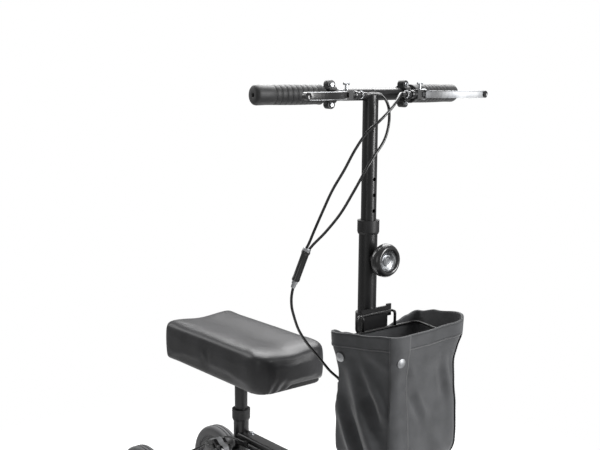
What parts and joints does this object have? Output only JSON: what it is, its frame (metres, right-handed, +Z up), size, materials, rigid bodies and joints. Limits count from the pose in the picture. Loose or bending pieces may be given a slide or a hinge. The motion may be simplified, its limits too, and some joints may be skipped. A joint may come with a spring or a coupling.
{
  "type": "knee scooter",
  "caption": "Folding steerable knee scooter with padded height-adjustable knee rest, adjustable handlebar, hand brakes and a canvas bag.",
  "frame": {"origin": "on the floor, under the middle of the scooter's bounding box", "axes": "+X forwards, +Y to the rider's left, +Z up"},
  "size_m": [0.888, 0.4874, 1.048],
  "materials": {
    "black_tube": "semi-gloss black paint",
    "bright_steel": "zinc plated",
    "black_plastic": "moulded black plastic",
    "steering_casting": "dark satin casting",
    "tyre_rubber": "grey-black polyurethane",
    "grip_rubber": "ribbed black rubber",
    "cable_housing": "smooth black sheath",
    "black_wire": "powder coat",
    "pad_leather": "black synthetic leather",
    "bag_canvas": "charcoal canvas"
  },
  "bodies": {
    "frame": {"main_beam": "black_tube", "seat_tube": "black_tube", "seat_collar": "black_plastic", "rear_stay": "black_tube", "rear_axle_tube": "black_tube", "rear_axle": "bright_steel", "rear_bearings": "bright_steel", "head_tube": "black_tube", "headset_bearings": "bright_steel", "front_gusset": "black_tube", "front_cross_tube": "black_tube", "kingpins": "bright_steel", "cable_clips": "black_plastic", "brake_backplate": "bright_steel", "frame_cable": "cable_housing"},
    "knee_rest": {"seat_post": "black_tube", "seat_screws": "bright_steel", "seat_board": "black_plastic", "knee_pad": "pad_leather"},
    "seat_knob": {"seat_knob": "black_plastic"},
    "steering": {"steering_spindle": "bright_steel", "pitman_arm": "black_tube", "fold_base": "black_tube"},
    "left_knuckle": {"knuckle_left": "steering_casting", "front_left_bearings": "bright_steel"},
    "right_knuckle": {"knuckle_right": "steering_casting", "front_right_bearings": "bright_steel"},
    "left_tie_rod": {"tie_rod_left": "bright_steel"},
    "right_tie_rod": {"tie_rod_right": "bright_steel"},
    "front_left_wheel": {"front_left_rim": "black_plastic", "front_left_tyre": "tyre_rubber"},
    "front_right_wheel": {"front_right_rim": "black_plastic", "front_right_tyre": "tyre_rubber"},
    "rear_left_wheel": {"rear_left_rim": "black_plastic", "rear_left_tyre": "tyre_rubber"},
    "rear_right_wheel": {"rear_right_rim": "black_plastic", "rear_right_tyre": "tyre_rubber", "brake_drum": "bright_steel"},
    "brake_arm": {"brake_arm": "bright_steel"},
    "column": {"column_tube": "black_tube", "column_collar": "black_plastic", "fold_bolt": "bright_steel", "column_cable": "cable_housing", "basket_bracket": "black_wire", "basket_frame": "black_wire", "bag": "bag_canvas", "bag_snaps": "bright_steel"},
    "fold_latch": {"fold_latch": "black_plastic"},
    "column_knob": {"column_knob": "black_plastic"},
    "handlebar": {"stem_tube": "black_tube", "handlebar": "black_tube", "grips": "grip_rubber", "lever_bodies": "black_plastic", "brake_cables": "cable_housing", "cable_merger": "black_plastic"},
    "left_lever": {"brake_lever_left": "black_plastic"},
    "right_lever": {"brake_lever_right": "black_plastic"},
    "left_lock_pin": {"lock_pin_left": "bright_steel"},
    "right_lock_pin": {"lock_pin_right": "bright_steel"}
  },
  "joints": [
    {"name": "steer", "type": "hinge", "parent": "frame", "child": "steering", "pos_m": [0.288, 0, 0.295], "axis": [0, 0, 1], "range_deg": [-30, 30]},
    {"name": "steer_left_knuckle", "type": "hinge", "parent": "frame", "child": "left_knuckle", "pos_m": [0.318, 0.088, 0.13], "axis": [0, 0, 1], "range_deg": [-31, 31]},
    {"name": "steer_right_knuckle", "type": "hinge", "parent": "frame", "child": "right_knuckle", "pos_m": [0.318, -0.088, 0.13], "axis": [0, 0, 1], "range_deg": [-31, 31]},
    {"name": "left_tie_rod_turn", "type": "hinge", "parent": "left_knuckle", "child": "left_tie_rod", "pos_m": [0.273, 0.088, 0.16], "axis": [0, 0, 1], "range_deg": [-31, 31]},
    {"name": "right_tie_rod_turn", "type": "hinge", "parent": "right_knuckle", "child": "right_tie_rod", "pos_m": [0.273, -0.088, 0.145], "axis": [0, 0, 1], "range_deg": [-31, 31]},
    {"name": "front_left_roll", "type": "hinge", "parent": "left_knuckle", "child": "front_left_wheel", "pos_m": [0.318, 0.128, 0.095], "axis": [0, 1, 0], "continuous": true},
    {"name": "front_right_roll", "type": "hinge", "parent": "right_knuckle", "child": "front_right_wheel", "pos_m": [0.318, -0.128, 0.095], "axis": [0, 1, 0], "continuous": true},
    {"name": "rear_left_roll", "type": "hinge", "parent": "frame", "child": "rear_left_wheel", "pos_m": [-0.349, 0.1065, 0.095], "axis": [0, 1, 0], "continuous": true},
    {"name": "rear_right_roll", "type": "hinge", "parent": "frame", "child": "rear_right_wheel", "pos_m": [-0.349, -0.1065, 0.095], "axis": [0, 1, 0], "continuous": true},
    {"name": "brake_arm_turn", "type": "hinge", "parent": "frame", "child": "brake_arm", "pos_m": [-0.327, -0.076, 0.115], "axis": [0, -1, 0], "range_deg": [0, 15]},
    {"name": "fold", "type": "hinge", "parent": "steering", "child": "column", "pos_m": [0.288, 0, 0.345], "axis": [0, -1, 0], "range_deg": [0, 40]},
    {"name": "fold_latch_pull", "type": "slide", "parent": "steering", "child": "fold_latch", "axis": [0, 1, 0], "range_m": [0, 0.008], "stiffness_N_per_m": 400, "springref_m": -0.002},
    {"name": "handlebar_height", "type": "slide", "parent": "column", "child": "handlebar", "axis": [0, 0, 1], "range_m": [-0.1425, 0.057], "deforming": ["brake_cables"]},
    {"name": "knee_rest_height", "type": "slide", "parent": "frame", "child": "knee_rest", "axis": [0, 0, 1], "range_m": [-0.075, 0.025]},
    {"name": "seat_knob_turn", "type": "hinge", "parent": "frame", "child": "seat_knob", "pos_m": [-0.108, -0.052, 0.237], "axis": [0, -1, 0], "range_deg": [0, 540]},
    {"name": "column_knob_pull", "type": "slide", "parent": "column", "child": "column_knob", "axis": [1, 0, 0], "range_m": [0, 0.01], "stiffness_N_per_m": 400, "springref_m": -0.002},
    {"name": "left_lever_pull", "type": "hinge", "parent": "handlebar", "child": "left_lever", "pos_m": [0.322, 0.1, 1.025], "axis": [0, 0, 1], "range_deg": [0, 25], "stiffness_Nm_per_rad": 0.5, "springref_deg": -5.73},
    {"name": "right_lever_pull", "type": "hinge", "parent": "handlebar", "child": "right_lever", "pos_m": [0.322, -0.1, 1.025], "axis": [0, 0, -1], "range_deg": [0, 25], "stiffness_Nm_per_rad": 0.5, "springref_deg": -5.73},
    {"name": "left_lock_pin_press", "type": "slide", "parent": "handlebar", "child": "left_lock_pin", "axis": [0, 0, -1], "range_m": [0, 0.004], "stiffness_N_per_m": 200, "springref_m": -0.001},
    {"name": "right_lock_pin_press", "type": "slide", "parent": "handlebar", "child": "right_lock_pin", "axis": [0, 0, -1], "range_m": [0, 0.004], "stiffness_N_per_m": 200, "springref_m": -0.001}
  ],
  "couplings": [
    {"joint": "steer_left_knuckle", "follows": "steer", "ratio": 1},
    {"joint": "steer_right_knuckle", "follows": "steer", "ratio": 1},
    {"joint": "left_tie_rod_turn", "follows": "steer", "ratio": -1},
    {"joint": "right_tie_rod_turn", "follows": "steer", "ratio": -1},
    {"joint": "brake_arm_turn", "follows": "right_lever_pull", "ratio": 0.6}
  ]
}
